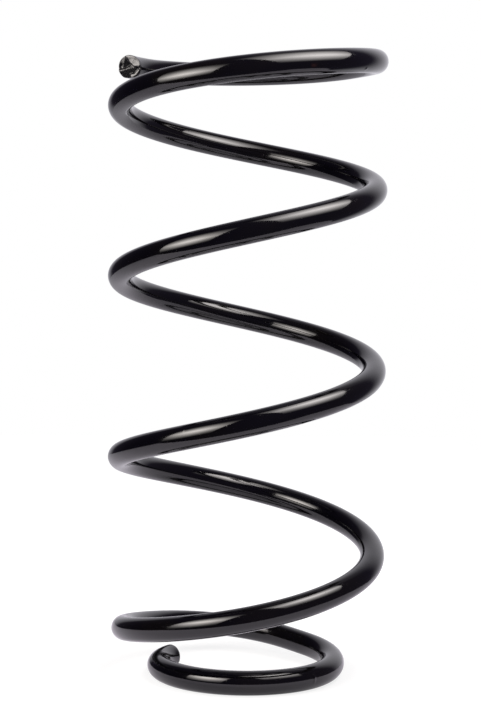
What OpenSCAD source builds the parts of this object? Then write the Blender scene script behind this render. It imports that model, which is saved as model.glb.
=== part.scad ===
// Suspension spring wound from one round steel bar.
// It stands on its small closed lower end coil, with its axis along Z and the seat at Z = 0.
// Turns are counted up the bar from the lower end, and all other sizes are in millimetres.

/* [Bar and coils] */
// Diameter of the round bar
bar_d = 12; // [9:0.5:14]
// Outside diameter of the working coils and of the upper end coil
coil_od = 140; // [125:1:180]
// Outside diameter of the small lower end coil
small_od = 100.4; // [80:0.2:110]

/* [Small coil and the widening above it] */
// Turns wound at the small diameter
small_turns = 0.68; // [0.6:0.01:0.8]
// Turns in which the bar swings outwards
swing_turns = 0.25; // [0.2:0.01:0.5]
// How far inside its full radius the bar still is at the end of that swing
settle_in = 2; // [0:0.1:6]
// Turns in which it then settles out to its full radius
settle_turns = 0.64; // [0.2:0.01:1]
// How far the very end of the small coil is curled in
curl_in = 3.2; // [0:0.1:5]
// Turns in which it curls in
curl_turns = 0.1; // [0.06:0.01:0.2]

/* [Pitch] */
// Rise in one turn where the bar climbs fastest, just above the small coil
steep_pitch = 97.7; // [70:0.1:120]
// Rise in one turn of the working coils
working_pitch = 90.6; // [60:0.1:110]
// Rise in one turn that is left where the bar bends over into the upper end coil
closing_pitch = 29.9; // [20:0.1:50]
// Fall in one turn of the upper end coil, which dips towards its end
end_dip = 6.4; // [0:0.1:10]

/* [Turns of each stretch, from the bottom up] */
// Lower end coil, flat on its seat
lower_flat_turns = 0.41; // [0.35:0.01:0.55]
// From flat to the steepest pitch
climb_turns = 1.13; // [0.9:0.01:1.4]
// From the steepest pitch to the working pitch
ease_turns = 0.85; // [0.4:0.01:1.2]
// At the working pitch
working_turns = 1.27; // [0.5:0.01:1.9]
// From the working pitch down to the closing pitch
fall_turns = 0.89; // [0.7:0.01:1.1]
// Short bend into the upper end coil
bend_turns = 0.1; // [0.04:0.01:0.15]
// Upper end coil, under its seat
upper_end_turns = 0.36; // [0.2:0.01:0.6]

/* [Sheared ends] */
// Angle of the lower end about the axis, from +X towards +Y
lower_end_angle = 158.6; // [0:0.2:359]
// Radius that shearing leaves round the rim of a cut face
rim_r = 0.7; // [0.3:0.1:1.2]
// Larger radius of the lower end's rim where the blade bit in
bite_r = 1.6; // [1.2:0.1:3.5]
// Place of that bite round the bar, from outwards over the top
bite_angle = 280; // [0:5:355]
// How far the lower face slopes back towards the bite, in degrees from square
shear_slope = 4; // [0:1:10]

/* [Torn upper face, with distances outwards and upwards from its middle] */
// How far back the torn facet on its inner side lies
facet_depth = 1.3; // [0:0.1:2]
// Where the facet's edge crosses the middle height, outwards
facet_edge = -2.3; // [-4:0.1:0]
// How far that edge leans outwards towards the top, in degrees from upright
facet_lean = 38; // [0:1:45]
// Width of the slope from the facet out to the full length of the bar
step_width = 4.8; // [2:0.1:6]
// Height of the ridge below the middle
ridge_drop = 0.5; // [0:0.1:2]
// How far the ridge falls outwards, in degrees
ridge_fall = 15; // [0:1:30]
// How far the face slopes back below the ridge, in degrees from square
lower_slope = 21; // [0:1:25]

/* [Fineness] */
// Flats round the bar
bar_sides = 24; // [12:2:24]
// Rings of points in one turn
rings_per_turn = 46; // [30:1:46]
// Flats across the radius of a rim
rim_steps = 3; // [2:1:4]
// Rings of points across a cut face
face_steps = 4; // [2:1:4]

/* [Hidden] */

bar_r = bar_d / 2;
coil_r = coil_od / 2 - bar_r;
small_r = small_od / 2 - bar_r;
shoulder_r = coil_r - settle_in;
swing_end = small_turns + swing_turns;

climb_end = lower_flat_turns + climb_turns;
ease_end = climb_end + ease_turns;
working_end = ease_end + working_turns;
fall_end = working_end + fall_turns;
bend_end = fall_end + bend_turns;
turns = bend_end + upper_end_turns;

// Pitch against turns, straight from each row to the next
pitch_plan = [
    [0, 0],
    [lower_flat_turns, 0],
    [climb_end, steep_pitch],
    [ease_end, working_pitch],
    [working_end, working_pitch],
    [fall_end, closing_pitch],
    [bend_end, -end_dip],
    [turns, -end_dip]
];

function total(list) = list * [for (x = list) 1];
function unit(v) = v / norm(v);

// Step from 0 to 1 that leaves and arrives without a kink, and its slope
function clamped(x) = min(max(x, 0), 1);
function smooth_step(x) = let (c = clamped(x)) c * c * (3 - 2 * c);
function smooth_slope(x) = let (c = clamped(x)) 6 * c * (1 - c);

// Share of the end's curl left at turn u, the centre line's radius there, and its growth in one turn
function curl_left(u) = 1 - clamped(u / curl_turns);
function centre_r(u) =
    small_r
    - curl_in * pow(curl_left(u), 2)
    + (shoulder_r - small_r) * smooth_step((u - small_turns) / swing_turns)
    + (coil_r - shoulder_r) * smooth_step((u - swing_end) / settle_turns);
function centre_r_growth(u) =
    2 * curl_in / curl_turns * curl_left(u)
    + (shoulder_r - small_r) * smooth_slope((u - small_turns) / swing_turns) / swing_turns
    + (coil_r - shoulder_r) * smooth_slope((u - swing_end) / settle_turns) / settle_turns;

// Height gained between two rows of the pitch plan by a bar that ends at turn u
function gained(from, to, u) =
    let (x = min(max(u, from[0]), to[0]) - from[0])
    from[1] * x + (to[1] - from[1]) * x * x / (2 * (to[0] - from[0]));
function height(u) =
    total([for (k = [1:len(pitch_plan) - 1]) gained(pitch_plan[k - 1], pitch_plan[k], u)]);

// Centre line of the bar, its run in one turn, and the section's outward and upward directions
function bearing(u) = lower_end_angle + 360 * u;
function centre(u) =
    [centre_r(u) * cos(bearing(u)), centre_r(u) * sin(bearing(u)), bar_r + height(u)];
function run(u) =
    let (away = centre_r_growth(u), round = 2 * PI * centre_r(u), a = bearing(u))
    [away * cos(a) - round * sin(a), away * sin(a) + round * cos(a), lookup(u, pitch_plan)];
function outward(u) = unit(cross(run(u), [0, 0, 1]));
function upward(u) = cross(outward(u), unit(run(u)));

// Point at angle phi round the bar and distance r from its centre line
function skin(u, phi, r) = centre(u) + r * (cos(phi) * outward(u) + sin(phi) * upward(u));
function around(j) = 360 * j / bar_sides;
function bar_ring(u) = [for (j = [0:bar_sides - 1]) skin(u, around(j), bar_r)];

// Depth of the sheared lower face and of the torn upper face, out and up from the middle
function lower_depth(out, up) =
    tan(shear_slope) * (bar_r + out * cos(bite_angle) + up * sin(bite_angle));
function upper_depth(out, up) =
    let (
        step = clamped((out - facet_edge - up * tan(facet_lean)) / step_width),
        under = max(-(up + ridge_drop + out * tan(ridge_fall)), 0)
    )
    facet_depth * (1 - step) + under * tan(lower_slope);
function depth(upper, out, up) = upper ? upper_depth(out, up) : lower_depth(out, up);

// Rim radius at angle phi round an end
function rim_at(upper, phi) =
    rim_r + (upper ? 0 : (bite_r - rim_r) * pow(max(cos(phi - bite_angle), 0), 2));

// Point near the end of the bar: back along the bar, at angle phi and distance r
function end_point(upper, phi, r, back) =
    let (u = upper ? turns : 0, way = upper ? -1 : 1)
    skin(u + way * back / norm(run(u)), phi, r);

// Ring across the cut face, at a share of the way out from its middle to its rim
function face_ring(upper, share) = [
    for (j = [0:bar_sides - 1])
        let (phi = around(j), r = share * (bar_r - rim_at(upper, phi)))
        end_point(upper, phi, r, depth(upper, r * cos(phi), r * sin(phi)))
];

// Ring on the rim, from the cut face at 0 to the bar's side at 90 degrees
function rim_ring(upper, lift) = [
    for (j = [0:bar_sides - 1])
        let (
            phi = around(j),
            rim = rim_at(upper, phi),
            edge = bar_r - rim,
            back = depth(upper, edge * cos(phi), edge * sin(phi)) + rim * (1 - cos(lift))
        )
        end_point(upper, phi, edge + rim * sin(lift), back)
];

module coil_spring() {
    steps = ceil(turns * rings_per_turn);
    rings = concat(
        [for (k = [1:face_steps - 1]) face_ring(false, k / face_steps)],
        [for (k = [0:rim_steps]) rim_ring(false, 90 * k / rim_steps)],
        [for (i = [1:steps - 1]) bar_ring(turns * i / steps)],
        [for (k = [rim_steps:-1:0]) rim_ring(true, 90 * k / rim_steps)],
        [for (k = [face_steps - 1:-1:1]) face_ring(true, k / face_steps)]
    );
    middles = [for (upper = [false, true]) end_point(upper, 0, 0, depth(upper, 0, 0))];
    last = (len(rings) - 1) * bar_sides;
    lower_middle = last + bar_sides;
    upper_middle = lower_middle + 1;
    skin_faces = [
        for (i = [0:len(rings) - 2], j = [0:bar_sides - 1])
            let (
                a = i * bar_sides + j,
                b = i * bar_sides + (j + 1) % bar_sides
            )
            each [[a, b + bar_sides, a + bar_sides], [a, b, b + bar_sides]]
    ];
    middle_faces = [
        for (j = [0:bar_sides - 1])
            let (next = (j + 1) % bar_sides)
            each [[lower_middle, next, j], [upper_middle, last + j, last + next]]
    ];
    color([0.06, 0.06, 0.07])
        polyhedron(
            points = concat([for (ring = rings) each ring], middles),
            faces = concat(skin_faces, middle_faces),
            convexity = 12
        );
}

coil_spring();
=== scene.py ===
"""A suspension spring in gloss black coating, standing on a pale table between two softboxes."""

import math

import bpy
import numpy as np
from bpy.props import FloatProperty, FloatVectorProperty, IntProperty, PointerProperty
from mathutils import Matrix, Vector


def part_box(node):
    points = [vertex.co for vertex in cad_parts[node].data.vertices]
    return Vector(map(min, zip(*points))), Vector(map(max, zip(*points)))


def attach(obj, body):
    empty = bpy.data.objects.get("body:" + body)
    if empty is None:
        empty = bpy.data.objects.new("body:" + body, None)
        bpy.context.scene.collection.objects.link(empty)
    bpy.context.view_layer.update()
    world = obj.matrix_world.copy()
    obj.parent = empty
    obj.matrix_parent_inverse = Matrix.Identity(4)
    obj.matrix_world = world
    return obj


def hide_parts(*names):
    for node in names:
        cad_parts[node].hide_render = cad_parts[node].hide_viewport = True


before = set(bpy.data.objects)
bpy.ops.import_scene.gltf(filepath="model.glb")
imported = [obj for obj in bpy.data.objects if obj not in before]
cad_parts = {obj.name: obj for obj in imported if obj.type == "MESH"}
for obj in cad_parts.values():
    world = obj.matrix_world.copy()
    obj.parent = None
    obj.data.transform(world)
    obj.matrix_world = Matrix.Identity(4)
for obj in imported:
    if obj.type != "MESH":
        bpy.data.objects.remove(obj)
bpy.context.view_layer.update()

bl_info = {
    "name": "Suspension spring",
    "version": (1, 0, 0),
    "blender": (4, 5, 0),
    "location": "View3D > Sidebar > Spring",
    "description": "Winds a coated suspension spring with sheared ends and lights it for a product photo",
    "category": "Object",
}

MM = 0.001
NODE = "coil_spring"
SENSOR_WIDTH = 36.0


def length(name, description, default, low, high):
    """A size in millimetres, kept in metres."""
    return FloatProperty(
        name=name, description=description, unit="LENGTH", precision=4,
        default=default * MM, min=low * MM, max=high * MM,
    )


def turns(name, description, default, low, high):
    """A stretch of the bar, in turns."""
    return FloatProperty(
        name=name, description=description, precision=3, default=default, min=low, max=high,
    )


def angle(name, description, default):
    """An angle, in radians."""
    return FloatProperty(name=name, description=description, subtype="ANGLE", default=default)


def colour(name, description, default):
    """A colour, or the light that something sheds, in linear values."""
    return FloatVectorProperty(
        name=name, description=description, subtype="COLOR", size=3, default=default, min=0, max=1,
    )


class SpringWinding(bpy.types.PropertyGroup):
    """Sizes of the bar and of the coils that it is wound into."""

    bar_diameter: length("Bar", "Diameter of the round bar", 12, 9, 14)
    coil_diameter: length("Coils", "Outside diameter of the working coils", 140, 125, 180)
    small_diameter: length("Small coil", "Outside diameter of the lower end coil", 100.4, 80, 110)
    small_turns: turns("Small turns", "Turns wound at the small diameter", 0.68, 0.5, 0.8)
    swing_turns: turns("Swing", "Turns in which the bar swings outwards", 0.25, 0.2, 0.5)
    settle_in: length("Settle in", "How far inside its full radius the bar then still is", 2.0, 0, 6)
    settle_turns: turns("Settle", "Turns in which it settles out to its full radius", 0.64, 0.2, 1)
    curl_in: length("Curl in", "How far the very end of the small coil is curled in", 3.2, 0, 5)
    curl_turns: turns("Curl", "Turns in which it curls in", 0.10, 0.06, 0.2)
    steep_pitch: length("Steep pitch", "Rise in one turn just above the small coil", 97.7, 70, 120)
    working_pitch: length("Working pitch", "Rise in one turn of the working coils", 90.6, 60, 110)
    closing_pitch: length("Closing pitch", "Rise left at the bend into the upper coil", 29.9, 20, 50)
    end_dip: length("End dip", "Fall in one turn of the upper coil towards its end", 6.4, 0, 12)
    lower_flat_turns: turns("Lower flat", "Turns lying flat on the lower seat", 0.41, 0.35, 0.55)
    climb_turns: turns("Climb", "Turns from flat to the steepest pitch", 1.13, 0.9, 1.4)
    ease_turns: turns("Ease", "Turns from the steepest to the working pitch", 0.85, 0.4, 1.2)
    working_turns: turns("Working", "Turns at the working pitch", 1.27, 0.5, 1.9)
    fall_turns: turns("Fall", "Turns from the working pitch to the closing pitch", 0.89, 0.7, 1.1)
    bend_turns: turns("Bend", "Turns of the short bend into the upper coil", 0.10, 0.04, 0.15)
    upper_end_turns: turns("Upper end", "Turns of the closed upper end coil", 0.36, 0.2, 0.6)
    lower_end_angle: angle("Lower end", "Place of that end, from +X towards +Y", math.radians(158.6))


class SpringEnds(bpy.types.PropertyGroup):
    """Form of the two sheared ends. Places round the bar are angles from outwards over the top."""

    rim: length("Rim", "Radius that shearing leaves round the rim", 0.7, 0.3, 1.2)
    bite: length("Bite", "Larger radius of the rim where the blade bit in", 1.6, 0.8, 3.5)
    bite_angle: angle("Bite angle", "Place of the bite round the lower end", math.radians(280))
    upper_rim: length("Upper rim", "Radius left round the rim of the torn upper end", 0.3, 0.1, 1.2)
    upper_bite: length("Upper bite", "Larger radius of that rim at its bite", 1.4, 0.3, 3)
    upper_bite_angle: angle("Upper bite angle", "Place of its bite round the upper end", math.radians(235))
    upper_shift: length("Upper shift", "How far the shear pushed the end's upper side up", 0.5, 0, 1)
    upper_flat: length("Upper flat", "How far below its middle that end is pressed flat", 4.9, 4, 6)
    fade: length("Fade", "Distance along the bar in which the torn shape dies away", 4, 1, 10)
    press_fade: length("Press fade", "Distance in which the pressed flat dies away", 18, 1, 40)
    shift_fade: length("Shift fade", "Distance in which the push up dies away", 28, 1, 40)


class SpringCoating(bpy.types.PropertyGroup):
    """Finish of the black coating."""

    cool_black: colour("Cool black", "Coating where it is thick", (0.0006, 0.0005, 0.0012))
    warm_black: colour("Warm black", "Coating where it is thin", (0.0013, 0.0010, 0.0010))
    rust: colour("Rust", "Rust that shows through a pinhole", (0.030, 0.010, 0.007))
    gloss_roughness: FloatProperty(
        name="Roughness", description="Mean roughness of the gloss", subtype="FACTOR",
        default=0.075, min=0, max=1,
    )
    peel_size: length("Peel size", "Width of the dimples of the orange peel", 2.2, 0.3, 8)
    peel_depth: FloatProperty(
        name="Peel depth", description="Depth of the orange peel", unit="LENGTH", precision=6,
        default=0.000004, min=0, max=0.0001,
    )


class SpringStudio(bpy.types.PropertyGroup):
    """Camera, table and background."""

    eye: FloatVectorProperty(
        name="Eye", description="Place of the camera", subtype="TRANSLATION", size=3,
        default=(-0.000888, -0.908144, 0.213572),
    )
    down: angle("Down", "Tilt of the view below level", 0.058303)
    pan: angle("Pan", "Turn of the view about the vertical", -0.002546)
    roll: angle("Roll", "Roll of the camera", -0.004567)
    lens: FloatProperty(
        name="Lens", description="Focal length on a 36 mm sensor, in millimetres", default=90.070,
    )
    table_colour: colour("Table", "Colour of the table top in reflections", (0.51, 0.485, 0.58))
    sweep_colour: colour("Sweep", "The white sweep behind, in reflections", (0.95, 0.93, 1.0))
    dark_colour: colour("Dark room", "What the unlit room sheds", (0.083, 0.072, 0.108))


class SpringSettings(bpy.types.PropertyGroup):
    """All settings of the spring and its studio."""

    winding: PointerProperty(type=SpringWinding)
    ends: PointerProperty(type=SpringEnds)
    coating: PointerProperty(type=SpringCoating)
    studio: PointerProperty(type=SpringStudio)
    sides: IntProperty(name="Sides", description="Points round the bar", default=64, min=12, max=96)


def smooth_step(x):
    """Step from 0 to 1 that leaves and arrives without a kink."""
    c = np.clip(x, 0.0, 1.0)
    return c * c * (3.0 - 2.0 * c)


def smooth_slope(x):
    """Slope of that step."""
    c = np.clip(x, 0.0, 1.0)
    return 6.0 * c * (1.0 - c)


def past(x):
    """How far x is past zero, and otherwise nothing."""
    return np.maximum(x, 0.0)


def unit(v):
    """The same direction at a length of one."""
    return v / np.linalg.norm(v, axis=-1, keepdims=True)


class Spine:
    """Centre line of the bar, by turns counted up from the lower end."""

    def __init__(self, winding):
        self.bar = winding.bar_diameter / 2
        self.full = winding.coil_diameter / 2 - self.bar
        self.small = winding.small_diameter / 2 - self.bar
        self.shoulder = self.full - winding.settle_in
        self.swing_start, self.swing_turns = winding.small_turns, winding.swing_turns
        self.settle_start = winding.small_turns + winding.swing_turns
        self.settle_turns = winding.settle_turns
        self.curl_in, self.curl_turns = winding.curl_in, winding.curl_turns
        self.start = winding.lower_end_angle
        stretches = (
            (winding.lower_flat_turns, 0.0),
            (winding.climb_turns, winding.steep_pitch),
            (winding.ease_turns, winding.working_pitch),
            (winding.working_turns, winding.working_pitch),
            (winding.fall_turns, winding.closing_pitch),
            (winding.bend_turns, -winding.end_dip),
            (winding.upper_end_turns, -winding.end_dip),
        )
        self.rows = np.cumsum([0.0] + [stretch for stretch, pitch in stretches])
        self.pitches = np.array([0.0] + [pitch for stretch, pitch in stretches])
        self.turns = float(self.rows[-1])

    def bearing(self, u):
        """Angle of turn u about the axis, from +X towards +Y."""
        return self.start + 2 * math.pi * u

    def curl_left(self, u):
        """Share of the end's curl that is left at turn u."""
        return 1 - np.clip(u / self.curl_turns, 0.0, 1.0)

    def radius(self, u):
        """Radius of the centre line at turn u."""
        swing = smooth_step((u - self.swing_start) / self.swing_turns)
        settle = smooth_step((u - self.settle_start) / self.settle_turns)
        curled = self.small - self.curl_in * self.curl_left(u) ** 2
        return curled + (self.shoulder - self.small) * swing + (self.full - self.shoulder) * settle

    def growth(self, u):
        """Growth of that radius in one turn."""
        swing = smooth_slope((u - self.swing_start) / self.swing_turns) / self.swing_turns
        settle = smooth_slope((u - self.settle_start) / self.settle_turns) / self.settle_turns
        uncurl = 2 * self.curl_in / self.curl_turns * self.curl_left(u)
        return uncurl + (self.shoulder - self.small) * swing + (self.full - self.shoulder) * settle

    def height(self, u):
        """Rise of the bar up to turn u, with the pitch straight from each row to the next."""
        gained = np.zeros_like(u)
        for k in range(len(self.rows) - 1):
            low, high = self.rows[k], self.rows[k + 1]
            change = self.pitches[k + 1] - self.pitches[k]
            x = np.clip(u, low, high) - low
            gained += self.pitches[k] * x + change * x * x / (2 * (high - low))
        return gained

    def centre(self, u):
        """Place of the centre line at turn u."""
        r, a = self.radius(u), self.bearing(u)
        return np.stack([r * np.cos(a), r * np.sin(a), self.bar + self.height(u)], -1)

    def run(self, u):
        """Movement of the centre line in one turn."""
        away, a = self.growth(u), self.bearing(u)
        around = 2 * math.pi * self.radius(u)
        rise = np.interp(u, self.rows, self.pitches)
        east = away * np.cos(a) - around * np.sin(a)
        north = away * np.sin(a) + around * np.cos(a)
        return np.stack([east, north, rise], -1)

    def per_turn(self, u):
        """Length of the bar in one turn, at turn u."""
        return np.linalg.norm(self.run(u), axis=-1)

    def section(self, u):
        """Outward and upward directions of the bar's section at turn u."""
        along = unit(self.run(u))
        outward = unit(np.cross(along, [0.0, 0.0, 1.0]))
        return outward, np.cross(outward, along)


class Mark:
    """A small flaw: its place in turns and degrees round the bar, and its form in millimetres."""

    def __init__(self, turn, place, along, around, rise, rust=0.0):
        self.turn, self.place, self.rust = turn, math.radians(place), rust
        self.along, self.around, self.rise = along * MM, around * MM, rise * MM

    def weight(self, spine, u, phi):
        """How much of the mark lies at turn u and angle phi, from 0 to 1."""
        along = (u - self.turn) * spine.per_turn(np.array(self.turn)) / self.along
        around = np.angle(np.exp(1j * (phi - self.place))) * spine.bar / self.around
        return np.exp(-(along ** 2) - around ** 2)


# A tick on the small coil, a speck and a rusty pinhole on the upper coil, and three faint flaws
MARKS = (
    Mark(turn=0.4276, place=8, along=0.55, around=1.9, rise=0.45),
    Mark(turn=4.4642, place=313, along=0.9, around=0.5, rise=0.32),
    Mark(turn=4.3814, place=340, along=1.2, around=0.8, rise=0.0, rust=0.5),
    Mark(turn=2.24, place=35, along=0.5, around=0.6, rise=0.10),
    Mark(turn=3.55, place=200, along=0.7, around=0.5, rise=0.12),
    Mark(turn=1.57, place=260, along=0.6, around=0.9, rise=0.12, rust=0.3),
)


def stations(spine):
    """Turns at which the bar has a ring of points: close together at the ends and on the marks."""
    fine, coarse = 0.35 * MM, 1.6 * MM
    end_reach, mark_reach, close_share = 12 * MM, 2.5 * MM, 0.6
    samples = 40001
    grid = np.linspace(0.0, spine.turns, samples)
    per_turn = spine.per_turn(grid)
    gap = np.full_like(grid, coarse)
    near = [(0.0, end_reach), (spine.turns, end_reach)] + [(mark.turn, mark_reach) for mark in MARKS]
    for turn, reach in near:
        away = np.abs(grid - turn) * per_turn
        widening = smooth_step((away - close_share * reach) / reach)
        gap = np.minimum(gap, fine + (coarse - fine) * widening)
    density = per_turn / gap
    between = (density[1:] + density[:-1]) / 2 * np.diff(grid)
    passed = np.concatenate([[0.0], np.cumsum(between)])
    rings = int(round(passed[-1]))
    return np.interp(np.linspace(0.0, passed[-1], rings + 1), passed, grid)[1:-1]


def softened(depth, limit, reach):
    """Lesser of two depths, rounded where they come within reach of each other."""
    share = np.clip(0.5 + 0.5 * (limit - depth) / reach, 0.0, 1.0)
    return limit + (depth - limit) * share - reach * share * (1.0 - share)


# In the forms of the cut faces s is outwards and t upwards from the middle, all in millimetres.
# They give depths below zero, and a fall, lean or rise is in millimetres for each millimetre across.
# The torn face reaches out to its edge on the outer side.
FACE_EDGE = 5.6


def pitted_shelf(s, t):
    """The shelf on the outer side, with its pit, and the dark wedge that falls inwards from it."""
    shelf_top, fall_down, fall_in, fall_width = 5.0, 0.19, 0.17, 1.85
    pit_depth, pit_out, pit_up = 0.5, 4.65, 0.7
    breadth_squared, tallness_squared = 0.22, 0.6
    edge_out, edge_lean, wedge_fall = 3.75, 0.35, 0.40
    from_pit = (s - pit_out) ** 2 / breadth_squared + (t - pit_up) ** 2 / tallness_squared
    pit = pit_depth * np.exp(-from_pit)
    shelf = -fall_down * (shelf_top - t) - fall_in * np.minimum(FACE_EDGE - s, fall_width) - pit
    return shelf - wedge_fall * past(edge_out - edge_lean * t - s)


def torn_facet(s, t):
    """The smooth facet on the inner side, which falls steeply away beside it and below it."""
    facet_depth, hollow, hollow_up = 0.35, 0.018, 0.5
    edge_out, edge_lean, beside_fall = -2.3, 0.79, 0.77
    corner_out, corner_up, foot_rise, inner_foot_rise = -2.34, 0.44, 0.93, 0.18
    below_fall, flank_fall = 1.6, 1.7
    from_corner = s - corner_out
    foot = corner_up + np.maximum(foot_rise * from_corner, inner_foot_rise * from_corner)
    beside = beside_fall * (s - edge_out - edge_lean * t)
    flank = past(np.maximum(beside, below_fall * (foot - t)))
    return -facet_depth + hollow * (t - hollow_up) ** 2 - flank_fall * flank


def ridge(s, above):
    """The ridge, by height above its crest line: a bench and a steep wall over it, a slope under it."""
    crest_depth, crest_fall, under_fall = 0.3, 0.18, 0.38
    bench_starts, bench_widens, bench_fall, wall_fall = 1.9, 0.58, 0.22, 0.88
    sharp, blunter, blunts_from, blunts_over = 0.15, 0.4, 1.0, 1.5
    crest = -crest_depth - crest_fall * (FACE_EDGE - s)
    bench = bench_widens * past(bench_starts - s)
    back = crest - bench_fall * above - wall_fall * past(above - bench)
    rounding = sharp + blunter * smooth_step((s - blunts_from) / blunts_over)
    return softened(back, crest + under_fall * above, rounding)


def lip(rho, phi):
    """The crescent lip on the lower inner rim, and its share, rho from the middle at phi degrees."""
    starts, start_fade, stops, stop_fade = 181, 8, 262, 14
    edge, narrows, narrows_from, narrows_over = 5.2, 1.05, 182, 32
    shoulder_width, shoulder_from, shoulder_over = 0.8, 228, 18
    lip_depth, bow, flank_bow = 0.8, 0.17, 3.0
    share = smooth_step((phi - starts) / start_fade) * (1 - smooth_step((phi - stops) / stop_fade))
    inward = past(edge - narrows * smooth_step((phi - narrows_from) / narrows_over) - rho)
    shoulder = shoulder_width * smooth_step((phi - shoulder_from) / shoulder_over)
    depth = -lip_depth - bow * inward ** 2 - flank_bow * past(inward - shoulder) ** 2
    return depth, share


def upper_face(s, t):
    """Depth of the torn upper end."""
    crest_drop, crest_lean, lower_fall = 0.5, 0.15, 0.8
    floor_depth, floor_fall, floor_edge = 2.9, 0.3, 5.7
    above = t + crest_drop + crest_lean * s
    broken = np.maximum(pitted_shelf(s, t), torn_facet(s, t)) + lower_fall * np.minimum(above, 0.0)
    torn = np.maximum(broken, ridge(s, above))
    torn = np.maximum(torn, -floor_depth + floor_fall * np.minimum(s + t + floor_edge, 0.0))
    lip_depth, lip_share = lip(np.hypot(s, t), np.degrees(np.arctan2(t, s)) % 360)
    return np.minimum(torn + past(lip_depth - torn) * lip_share, 0.0)


def lower_face(s, t):
    """Depth of the lower end, sheared nearly square, with a hollow above the band the blade left."""
    slope, up_share, out_share, bar_radius = 0.07, 0.98, 0.17, 6.0
    hollow_depth, hollow_radius, hollow_fade = 0.25, 4.0, 1.5
    band_top, band_lean, band_fade = -2.2, 0.3, 1.2
    sheared = slope * (t * up_share - s * out_share - bar_radius)
    above_band = smooth_step((t - band_top + band_lean * s) / band_fade)
    inside = 1 - smooth_step((np.hypot(s, t) - hollow_radius) / hollow_fade)
    return sheared - hollow_depth * above_band * inside


def pushed_up(t, away, ends):
    """How far the shear moved the bar up, at t above its middle and a distance away from its end."""
    still_below, moved_over, rounding = -4 * MM, 6 * MM, 0.3 * MM
    shift = ends.upper_shift * smooth_step((t - still_below) / moved_over)
    over = -t - ends.upper_flat
    press = 0.5 * (over + np.hypot(over, rounding))
    shift_left = 1 - smooth_step(away / ends.shift_fade)
    press_left = 1 - smooth_step(away / ends.press_fade)
    return shift * shift_left + press * press_left


def rough(s, t, seed):
    """Grain about the mean of a cut face: a sum of slanted waves in which the finer ones are lower."""
    wave_numbers, slants = (1.6, 2.9, 5.3), 3
    rng = np.random.default_rng(seed)
    total = np.zeros_like(s)
    for number in wave_numbers:
        for slant in rng.uniform(0, math.pi, slants):
            shift = rng.uniform(0, 2 * math.pi)
            total += np.sin(number * (s * math.cos(slant) + t * math.sin(slant)) + shift) / number
    return total


def end_rings(spine, ends, sides, upper):
    """Rings over one cut end, in order up the bar: the turns and the radii of their points."""
    face_steps, rim_steps = 22, 8
    if upper:
        turn, inward = spine.turns, -1.0
        small, large, bite_angle, narrowing = ends.upper_rim, ends.upper_bite, ends.upper_bite_angle, 4
    else:
        turn, inward = 0.0, 1.0
        small, large, bite_angle, narrowing = ends.rim, ends.bite, ends.bite_angle, 2
    phi = np.linspace(0, 2 * math.pi, sides, endpoint=False)
    rim = small + (large - small) * past(np.cos(phi - bite_angle)) ** narrowing
    per_turn = spine.per_turn(np.array(turn))
    rings = []
    for k in range(1, face_steps):
        rings.append((np.full(sides, turn), (spine.bar - rim) * k / face_steps))
    for k in range(rim_steps + 1):
        lift = math.pi / 2 * k / rim_steps
        back = rim * (1 - math.cos(lift))
        rings.append((turn + inward * back / per_turn, spine.bar - rim * (1 - math.sin(lift))))
    return rings[::-1] if upper else rings


def ring_places(spine, ends, sides):
    """Turns and radii of all points, in one row for each ring up the bar."""
    rim_reach = 2.6 * MM
    first = rim_reach / spine.per_turn(np.array(0.0))
    last = spine.turns - rim_reach / spine.per_turn(np.array(spine.turns))
    plain = [
        (np.full(sides, turn), np.full(sides, spine.bar))
        for turn in stations(spine) if first < turn < last
    ]
    rings = end_rings(spine, ends, sides, False) + plain + end_rings(spine, ends, sides, True)
    return np.array([u for u, r in rings]), np.array([r for u, r in rings])


def flaws(spine, u, phi):
    """How far the marks lift the coating, and how much rust they show, at turn u and angle phi."""
    lift, rust = np.zeros_like(u), np.zeros_like(u)
    for mark in MARKS:
        weight = mark.weight(spine, u, phi)
        lift += mark.rise * weight
        rust += mark.rust * weight
    return lift, rust


def cut_ends(spine):
    """Both cut ends: the turn, the way out along the bar, the face and the seed of its grain."""
    return (0.0, -1.0, lower_face, 8), (spine.turns, 1.0, upper_face, 3)


def skin_faces(rings, sides):
    """Quads from ring to ring, and triangles from the end rings to the middles of the cut faces."""
    i, j = np.meshgrid(np.arange(rings - 1), np.arange(sides), indexing="ij")
    a, b = i * sides + j, i * sides + (j + 1) % sides
    quads = np.stack([a, b, b + sides, a + sides], -1).reshape(-1, 4)
    here, top = np.arange(sides), (rings - 1) * sides
    following = (here + 1) % sides
    lower_middle, upper_middle = rings * sides, rings * sides + 1
    lower_fan = np.stack([np.full(sides, lower_middle), following, here], -1)
    upper_fan = np.stack([np.full(sides, upper_middle), top + here, top + following], -1)
    return quads.tolist() + lower_fan.tolist() + upper_fan.tolist()


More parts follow.
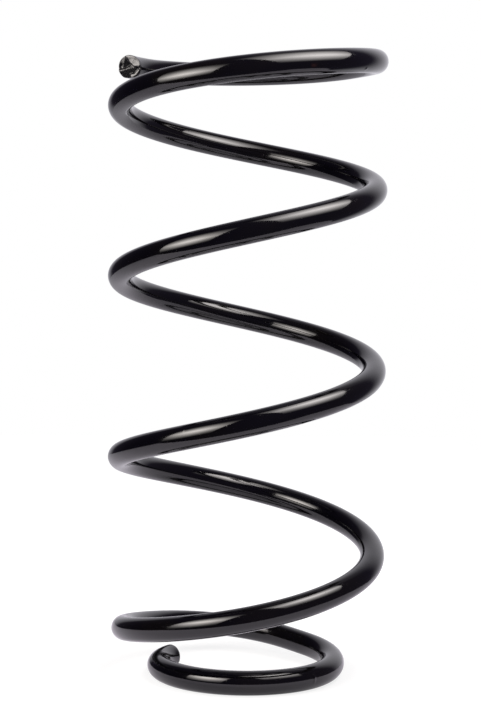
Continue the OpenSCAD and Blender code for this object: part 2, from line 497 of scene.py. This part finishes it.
def wind(spine, ends, sides):
    """Points, faces and masks of the coated bar."""
    grain_height, grain_reach = 0.02 * MM, 1.0 * MM
    cut_reach, cut_fade = 0.2 * MM, 1.5 * MM
    side_share = 0.99
    phi = np.linspace(0, 2 * math.pi, sides, endpoint=False)
    u, r = ring_places(spine, ends, sides)
    lift, rust = flaws(spine, u, phi)
    r = r + lift * (r > side_share * spine.bar)
    outward, upward = spine.section(u)
    s, t = r * np.cos(phi), r * np.sin(phi)
    points = spine.centre(u) + s[..., None] * outward + t[..., None] * upward
    cut = np.zeros_like(u)
    middles = []
    for turn, way, face, seed in cut_ends(spine):
        end = np.array(turn)
        normal = way * unit(spine.run(end))
        away = np.abs(u - turn) * spine.per_turn(end)
        grain = grain_height * rough(s / MM, t / MM, seed) * (1 - smooth_step(away / grain_reach))
        depth = np.minimum(face(s / MM, t / MM) * MM + grain, 0.0)
        depth = depth * (1 - smooth_step(away / ends.fade))
        points += depth[..., None] * normal
        middle = spine.centre(end) + face(0.0, 0.0) * MM * normal
        if face is upper_face:
            points[..., 2] += pushed_up(t, away, ends)
            middle[2] += pushed_up(0.0, 0.0, ends)
        middles.append(middle)
        cut = np.maximum(cut, 1 - smooth_step((away - cut_reach) / cut_fade))
    verts = np.concatenate([points.reshape(-1, 3), np.array(middles)])
    masks = {
        "cut": np.concatenate([cut.ravel(), [1.0, 1.0]]),
        "rust": np.concatenate([rust.ravel(), [0.0, 0.0]]),
    }
    return verts, skin_faces(len(u), sides), masks


class Tree:
    """Adds nodes to one emptied node tree."""

    def __init__(self, tree):
        self.tree = tree
        tree.nodes.clear()

    def node(self, kind, inputs=(), **settings):
        """A node with its settings and its inputs, each of them a value or another node's output."""
        made = self.tree.nodes.new("ShaderNode" + kind)
        for name, value in settings.items():
            setattr(made, name, value)
        for name, value in dict(inputs).items():
            if isinstance(value, bpy.types.NodeSocket):
                self.tree.links.new(value, made.inputs[name])
            else:
                made.inputs[name].default_value = value
        return made

    def math(self, operation, *values):
        """Result of one operation on numbers."""
        return self.node("Math", enumerate(values), operation=operation).outputs[0]

    def total(self, value, *others):
        """All values added up."""
        for other in others:
            value = self.math("ADD", value, other)
        return value

    def product(self, value, *others):
        """All values multiplied."""
        for other in others:
            value = self.math("MULTIPLY", value, other)
        return value

    def ramp(self, value, start, end, low=0.0, high=1.0):
        """A smooth change from low to high while the value goes from start to end."""
        inputs = {"Value": value, "From Min": start, "From Max": end, "To Min": low, "To Max": high}
        return self.node("MapRange", inputs, interpolation_type="SMOOTHSTEP").outputs["Result"]

    def mix(self, share, low, high):
        """A mix of two colours, which this node takes at 6 and 7 and gives at 2."""
        inputs = {0: share, 6: low, 7: high}
        return self.node("Mix", inputs, data_type="RGBA").outputs[2]

    def between(self, share, low, high):
        """A mix of two numbers, which this node takes at 2 and 3 and gives at 0."""
        return self.node("Mix", {0: share, 2: low, 3: high}).outputs[0]

    def bump(self, height, distance, normal=None):
        """Relief of a height, laid over the relief that the normal has already."""
        inputs = {"Strength": 1.0, "Distance": distance, "Height": height}
        if normal is not None:
            inputs["Normal"] = normal
        return self.node("Bump", inputs).outputs[0]


def rgba(rgb):
    """The same colour, opaque."""
    return (*rgb, 1.0)


def coating_material(coating):
    """Gloss black coating with orange peel, a few nibs, thin warm patches and a trace of rust."""
    torn_rust_share, pinhole_dullness = 0.35, 0.3
    sag_depth, nib_height, torn_depth = 0.05 * MM, 0.01 * MM, 0.09 * MM
    material = bpy.data.materials.new("gloss_black_coating")
    material.use_nodes = True
    n = Tree(material.node_tree)
    place = n.node("TexCoord").outputs["Object"]
    cut = n.node("Attribute", attribute_name="cut").outputs["Fac"]
    rust = n.node("Attribute", attribute_name="rust").outputs["Fac"]

    def noise(size, detail, roughness=0.5):
        """Noise from 0 to 1 in the object's own space, with features of a size in metres."""
        inputs = {"Vector": place, "Scale": 1 / size, "Detail": detail, "Roughness": roughness}
        return n.node("TexNoise", inputs).outputs["Fac"]

    patches = n.ramp(noise(size=28 * MM, detail=3.0), start=0.40, end=0.66)
    black = n.mix(patches, rgba(coating.cool_black), rgba(coating.warm_black))
    spots = n.ramp(noise(size=1.1 * MM, detail=4.0, roughness=0.6), start=0.60, end=0.78)
    torn_rust = n.product(cut, spots, torn_rust_share)
    pinhole = n.product(rust, n.ramp(noise(size=1.6 * MM, detail=3.0), start=0.30, end=0.62))
    paint = n.mix(n.math("MAXIMUM", torn_rust, pinhole), black, rgba(coating.rust))

    clouds = noise(size=17 * MM, detail=4.0, roughness=0.6)
    haze = n.ramp(clouds, start=0.35, end=0.75, low=-0.015, high=0.035)
    dust = n.ramp(noise(size=0.45 * MM, detail=1.0), start=0.70, end=0.80, low=0.0, high=0.08)
    tears = n.ramp(noise(size=0.9 * MM, detail=3.0), start=0.35, end=0.7, low=0.03, high=0.16)
    dull = n.product(pinhole, pinhole_dullness)
    roughness = n.total(haze, dust, n.product(cut, tears), coating.gloss_roughness, dull)

    peel = noise(size=coating.peel_size, detail=1.0)
    sag = noise(size=16 * MM, detail=1.0)
    nibs = n.ramp(noise(size=0.8 * MM, detail=0.0), start=0.74, end=0.84)
    torn_grain = n.product(noise(size=0.7 * MM, detail=5.0, roughness=0.65), cut)
    relief = n.bump(peel, coating.peel_depth)
    relief = n.bump(sag, sag_depth, relief)
    relief = n.bump(nibs, nib_height, relief)
    relief = n.bump(torn_grain, torn_depth, relief)

    inputs = {"Base Color": paint, "Roughness": roughness, "IOR": 1.5, "Normal": relief}
    shader = n.node("BsdfPrincipled", inputs)
    n.node("OutputMaterial", {"Surface": shader.outputs[0]})
    return material


def build_spring(settings):
    """The coated bar as one mesh, standing in for the plain solid."""
    verts, faces, masks = wind(Spine(settings.winding), settings.ends, settings.sides)
    low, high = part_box(NODE)
    slack = 0.3 * MM
    if (verts.min(0) < np.array(low) - slack).any() or (verts.max(0) > np.array(high) + slack).any():
        raise RuntimeError("the coated spring is larger than the solid that it stands for")
    mesh = bpy.data.meshes.new("coated_spring")
    mesh.from_pydata(verts.tolist(), [], faces)
    for name, values in masks.items():
        layer = mesh.attributes.new(name, "FLOAT", "POINT")
        layer.data.foreach_set("value", values.astype(np.float32))
    mesh.shade_smooth()
    mesh.materials.append(coating_material(settings.coating))
    spring = bpy.data.objects.new("coated_spring", mesh)
    bpy.context.scene.collection.objects.link(spring)
    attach(spring, "root")
    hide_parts(NODE)


def table_material(studio):
    """Pale table, white to the camera but for the spring's own soft shadow, which a painted shade helps to
    show: its glow is dimmed round the spring's foot.
    """
    painted_shade_within, white_beyond = 0.06, 0.20
    painted_shade_glow, glow_far, glow_reflected = 0.83, 1.0, 0.38
    seen_colour = (0.20, 0.20, 0.20)
    material = bpy.data.materials.new("pale_table")
    material.use_nodes = True
    n = Tree(material.node_tree)
    place = n.node("SeparateXYZ", {0: n.node("TexCoord").outputs["Object"]}).outputs
    out = n.math("SQRT", n.total(n.math("POWER", place["X"], 2.0), n.math("POWER", place["Y"], 2.0)))
    camera = n.node("LightPath").outputs["Is Camera Ray"]
    # Painted shade: the glow that the camera sees is dimmed near the middle of the table, under the
    # spring, so that its shadow from the lamps shows there
    glow_with_painted_shade = n.ramp(out, painted_shade_within, white_beyond, painted_shade_glow, glow_far)
    glow = n.between(camera, glow_reflected, glow_with_painted_shade)
    top = n.mix(camera, rgba(studio.table_colour), rgba(seen_colour))
    diffuse = n.node("BsdfDiffuse", {"Color": top})
    light = n.node("Emission", {"Color": (1.0, 1.0, 1.0, 1.0), "Strength": glow})
    both = n.node("AddShader", {0: diffuse.outputs[0], 1: light.outputs[0]})
    n.node("OutputMaterial", {"Surface": both.outputs[0]})
    return material


def build_table(studio):
    """Table top under the spring, its front close by and its right side bowed, as reflections show."""
    left, left_at_back, front, back, bow_end = -0.56, -0.42, -0.176, 1.20, 0.10
    bow_x, bow_y, bow, bow_points = 0.32, -0.03, 4.1, 9
    clearance = 0.02 * MM
    ys = np.linspace(front, bow_end, bow_points)
    bowed = [(bow_x - bow * (y - bow_y) ** 2, y, 0) for y in ys]
    corners = [(left, front, 0), *bowed, (bowed[-1][0], back, 0), (left_at_back, back, 0)]
    mesh = bpy.data.meshes.new("table_top")
    mesh.from_pydata(corners, [], [tuple(range(len(corners)))])
    mesh.materials.append(table_material(studio))
    table = bpy.data.objects.new("table_top", mesh)
    table.location.z = -clearance
    bpy.context.scene.collection.objects.link(table)


class Softbox:
    """A lamp in a box: place, way out, half sizes, and how its light falls off from its hottest spot."""

    def __init__(self, name, place, way, half, colour, radiance, hottest, side_fall, height_fall):
        self.name, self.place, self.way = name, Vector(place), Vector(way).normalized()
        self.half, self.colour, self.radiance, self.hottest = half, colour, radiance, hottest
        self.side_fall, self.height_fall = side_fall, height_fall


SOFTBOXES = (
    Softbox(
        name="left_softbox",
        place=(-0.338, -0.295, 0.347), way=(-0.667, -0.667, 0.333), half=(0.207, 0.316),
        colour=(1.0, 0.942, 0.897), radiance=16.0, hottest=(0.01, -0.012),
        side_fall=1.15, height_fall=1.75,
    ),
    Softbox(
        name="right_softbox",
        place=(0.212, -0.146, 0.509), way=(0.427, -0.455, 0.781), half=(0.213, 0.302),
        colour=(1.0, 0.951, 0.929), radiance=15.2, hottest=(0.0, 0.012),
        side_fall=0.95, height_fall=1.7,
    ),
)


def build_softbox(box):
    """An area lamp whose light ends sharply at its sides and fades out towards its top and bottom."""
    lamp = bpy.data.lights.new(box.name, "AREA")
    lamp.shape = "RECTANGLE"
    lamp.size, lamp.size_y = 2 * box.half[0], 2 * box.half[1]
    lamp.energy = math.pi * lamp.size * lamp.size_y
    lamp.color = box.colour
    lamp.use_nodes = True
    n = Tree(lamp.node_tree)
    place = n.node("SeparateXYZ", {0: n.node("NewGeometry").outputs["Parametric"]}).outputs
    beside = n.product(n.math("SUBTRACT", place["X"], 0.5 + box.hottest[0]), 2.0)
    above = n.product(n.math("ABSOLUTE", n.math("SUBTRACT", place["Y"], 0.5 + box.hottest[1])), 2.0)
    sideways = n.math("EXPONENT", n.product(beside, beside, -box.side_fall))
    upwards = n.math("POWER", n.math("MAXIMUM", n.math("SUBTRACT", 1.0, above), 0.0), box.height_fall)
    emission = n.node("Emission", {"Strength": n.product(sideways, upwards, box.radiance)})
    n.node("OutputLight", {0: emission.outputs[0]})
    holder = bpy.data.objects.new(box.name, lamp)
    bpy.context.scene.collection.objects.link(holder)
    side = Vector((0, 0, 1)).cross(box.way).normalized()
    turned = Matrix((side, box.way.cross(side), box.way)).transposed().to_4x4()
    holder.matrix_world = Matrix.Translation(box.place) @ turned
    holder.visible_camera = False


def build_world(studio):
    """White to the camera; anything else sees a white sweep behind and a dark room around."""
    nearest_ahead, sweep_strength = 0.05, 0.95
    world = bpy.data.worlds.new("studio")
    bpy.context.scene.world = world
    world.use_nodes = True
    n = Tree(world.node_tree)
    x, y, z = n.node("SeparateXYZ", {0: n.node("TexCoord").outputs["Generated"]}).outputs
    ahead = n.math("MAXIMUM", y, nearest_ahead)
    across, rise = n.math("DIVIDE", x, ahead), n.math("DIVIDE", z, ahead)
    left_edge = n.ramp(across, start=-0.78, end=-0.50)
    left_fall = n.ramp(across, start=-1.2, end=0.4)
    right_fall = n.ramp(across, start=0.5, end=1.8, low=1.0, high=0.0)
    top_fall = n.ramp(rise, start=0.5, end=1.6, low=1.0, high=0.2)
    behind = n.ramp(y, start=0.02, end=0.2)
    sweep = n.product(left_edge, left_fall, right_fall, top_fall, behind, sweep_strength)
    path = n.node("LightPath").outputs
    others = n.total(path["Is Glossy Ray"], path["Is Transmission Ray"], path["Is Diffuse Ray"])
    seen = n.total(path["Is Camera Ray"], n.product(others, sweep))
    side = n.ramp(x, start=-1.0, end=0.3, low=0.35, high=1.15)
    dark = n.node("Background", {"Color": rgba(studio.dark_colour), "Strength": side})
    tint = n.mix(path["Is Camera Ray"], rgba(studio.sweep_colour), (1.0, 1.0, 1.0, 1.0))
    white = n.node("Background", {"Color": tint, "Strength": 1.0})
    shown = n.node("MixShader", {0: seen, 1: dark.outputs[0], 2: white.outputs[0]})
    n.node("OutputWorld", {"Surface": shown.outputs[0]})


def build_camera(studio):
    """Camera at the photograph's viewing angle."""
    down, pan, roll = studio.down, studio.pan, studio.roll
    level = math.cos(down)
    forward = Vector((level * math.sin(pan), level * math.cos(pan), -math.sin(down)))
    right = Vector((math.cos(pan), -math.sin(pan), 0.0))
    up = right.cross(forward)
    side = math.cos(roll) * right - math.sin(roll) * up
    top = math.sin(roll) * right + math.cos(roll) * up
    data = bpy.data.cameras.new("camera")
    data.lens, data.sensor_width = studio.lens, SENSOR_WIDTH
    camera = bpy.data.objects.new("camera", data)
    bpy.context.scene.collection.objects.link(camera)
    turned = Matrix((side, top, -forward)).transposed().to_4x4()
    camera.matrix_world = Matrix.Translation(studio.eye) @ turned
    bpy.context.scene.camera = camera


class SPRING_OT_wind(bpy.types.Operator):
    """Wind the coated bar with its sheared ends"""

    bl_idname = "spring.wind"
    bl_label = "Wind spring"

    def execute(self, context):
        build_spring(context.scene.spring)
        return {"FINISHED"}


class SPRING_OT_studio(bpy.types.Operator):
    """Set up the camera, the table, the softboxes and the white background"""

    bl_idname = "spring.studio"
    bl_label = "Set up studio"

    def execute(self, context):
        studio = context.scene.spring.studio
        build_camera(studio)
        build_table(studio)
        for box in SOFTBOXES:
            build_softbox(box)
        build_world(studio)
        context.scene.view_settings.view_transform = "Standard"
        return {"FINISHED"}


class SPRING_PT_panel(bpy.types.Panel):
    """Lists the steps and the settings of the spring"""

    bl_idname = "SPRING_PT_panel"
    bl_label = "Suspension spring"
    bl_space_type = "VIEW_3D"
    bl_region_type = "UI"
    bl_category = "Spring"

    def draw(self, context):
        settings = context.scene.spring
        for operator in OPERATORS:
            self.layout.operator(operator.bl_idname)
        self.layout.prop(settings, "sides")
        for group in (settings.winding, settings.ends, settings.coating, settings.studio):
            box = self.layout.box()
            for name in group.__annotations__:
                box.prop(group, name)


OPERATORS = (SPRING_OT_wind, SPRING_OT_studio)
CLASSES = (
    SpringWinding, SpringEnds, SpringCoating, SpringStudio, SpringSettings,
    *OPERATORS, SPRING_PT_panel,
)


def register():
    for cls in CLASSES:
        bpy.utils.register_class(cls)
    bpy.types.Scene.spring = PointerProperty(type=SpringSettings)


def unregister():
    del bpy.types.Scene.spring
    for cls in reversed(CLASSES):
        bpy.utils.unregister_class(cls)


def main():
    register()
    bpy.ops.spring.wind()
    bpy.ops.spring.studio()
    bpy.context.view_layer.update()


if __name__ == "__main__":
    main()
